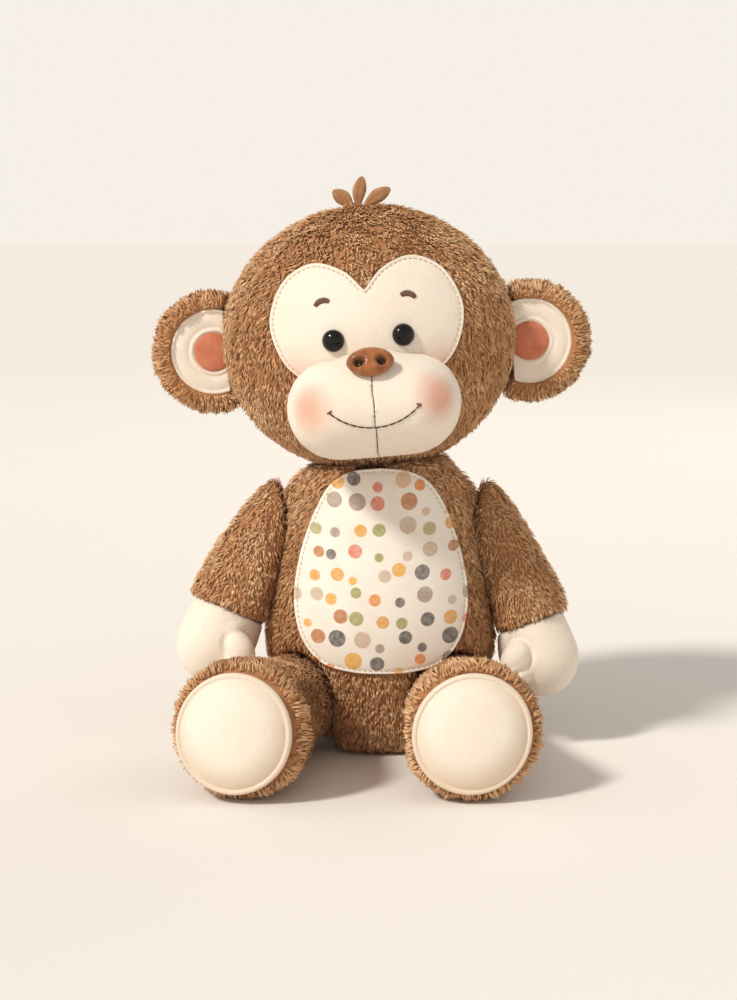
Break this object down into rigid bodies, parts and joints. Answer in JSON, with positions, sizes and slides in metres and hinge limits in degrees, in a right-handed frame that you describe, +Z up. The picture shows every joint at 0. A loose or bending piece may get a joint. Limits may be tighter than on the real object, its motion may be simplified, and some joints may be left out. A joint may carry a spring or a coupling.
{
  "type": "stuffed monkey",
  "caption": "Sitting plush monkey with heart-shaped face, dotted belly patch, turning head, arms and legs on doll joints, and a curled tail.",
  "frame": {"origin": "centre of the flat seat, on the floor", "axes": "+Z up, the toy faces -Y, +X to the right of someone facing it"},
  "size_m": [0.2159, 0.2173, 0.282],
  "materials": {
    "brown_plush": "short tufted pile",
    "cream_fabric": "short nap",
    "dotted_cotton": "printed dots on plain weave",
    "peach_felt": "felt",
    "tuft_felt": "felt",
    "embroidery": "satin stitch thread",
    "fibre_fill": "polyester fibre",
    "eye_black": "high gloss",
    "nose_brown": "gloss",
    "joint_plastic": "matt",
    "pellets": "matt"
  },
  "bodies": {
    "torso": {"torso_front_panel": "brown_plush", "torso_back_panel": "brown_plush", "seat_panel": "brown_plush", "belly_patch": "dotted_cotton", "torso_filling": "fibre_fill", "bean_bag": "cream_fabric", "bean_pellets": "pellets", "neck_washer": "joint_plastic", "shoulder_washers": "joint_plastic", "hip_washers": "joint_plastic"},
    "head": {"head_front_panel": "brown_plush", "head_back_panel": "brown_plush", "head_filling": "fibre_fill", "face_patch": "cream_fabric", "muzzle_left_panel": "cream_fabric", "muzzle_right_panel": "cream_fabric", "muzzle_filling": "fibre_fill", "nose": "nose_brown", "nose_washer": "joint_plastic", "eye_left": "eye_black", "eye_right": "eye_black", "eye_washers": "joint_plastic", "brows": "embroidery", "mouth_stitch": "embroidery", "hair_tuft": "tuft_felt", "ear_left_cover": "brown_plush", "ear_left_padding": "fibre_fill", "ear_left_lining": "cream_fabric", "ear_left_centre": "peach_felt", "ear_right_cover": "brown_plush", "ear_right_padding": "fibre_fill", "ear_right_lining": "cream_fabric", "ear_right_centre": "peach_felt", "neck_joint_disc": "joint_plastic", "neck_lock_ring": "joint_plastic"},
    "arm_left": {"arm_left_sleeve": "brown_plush", "arm_left_filling": "fibre_fill", "hand_left_cover": "cream_fabric", "hand_left_filling": "fibre_fill", "shoulder_left_disc": "joint_plastic", "shoulder_left_lock_ring": "joint_plastic"},
    "arm_right": {"arm_right_sleeve": "brown_plush", "arm_right_filling": "fibre_fill", "hand_right_cover": "cream_fabric", "hand_right_filling": "fibre_fill", "shoulder_right_disc": "joint_plastic", "shoulder_right_lock_ring": "joint_plastic"},
    "leg_left": {"leg_left_cover": "brown_plush", "leg_left_filling": "fibre_fill", "sole_left": "cream_fabric", "hip_left_disc": "joint_plastic", "hip_left_lock_ring": "joint_plastic"},
    "leg_right": {"leg_right_cover": "brown_plush", "leg_right_filling": "fibre_fill", "sole_right": "cream_fabric", "hip_right_disc": "joint_plastic", "hip_right_lock_ring": "joint_plastic"},
    "tail": {"tail_cover": "brown_plush", "tail_filling": "fibre_fill"}
  },
  "joints": [
    {"name": "neck_turn", "type": "hinge", "parent": "torso", "child": "head", "pos_m": [0, 0, 0.135], "axis": [-0.0872, 0, 0.9962], "continuous": true},
    {"name": "shoulder_left", "type": "hinge", "parent": "torso", "child": "arm_left", "pos_m": [-0.05, 0, 0.106], "axis": [-1, 0, 0], "range_deg": [-100, 90]},
    {"name": "shoulder_right", "type": "hinge", "parent": "torso", "child": "arm_right", "pos_m": [0.05, 0, 0.106], "axis": [-1, 0, 0], "range_deg": [-100, 90]},
    {"name": "hip_left", "type": "hinge", "parent": "torso", "child": "leg_left", "pos_m": [-0.042, -0.02, 0.0245], "axis": [-1, 0, 0], "range_deg": [-90, 3]},
    {"name": "hip_right", "type": "hinge", "parent": "torso", "child": "leg_right", "pos_m": [0.036, -0.02, 0.0245], "axis": [-1, 0, 0], "range_deg": [-90, 3]},
    {"name": "tail_wag", "type": "hinge", "parent": "torso", "child": "tail", "pos_m": [0, 0.054, 0.0094], "axis": [0, 0, 1], "range_deg": [-20, 20]}
  ]
}
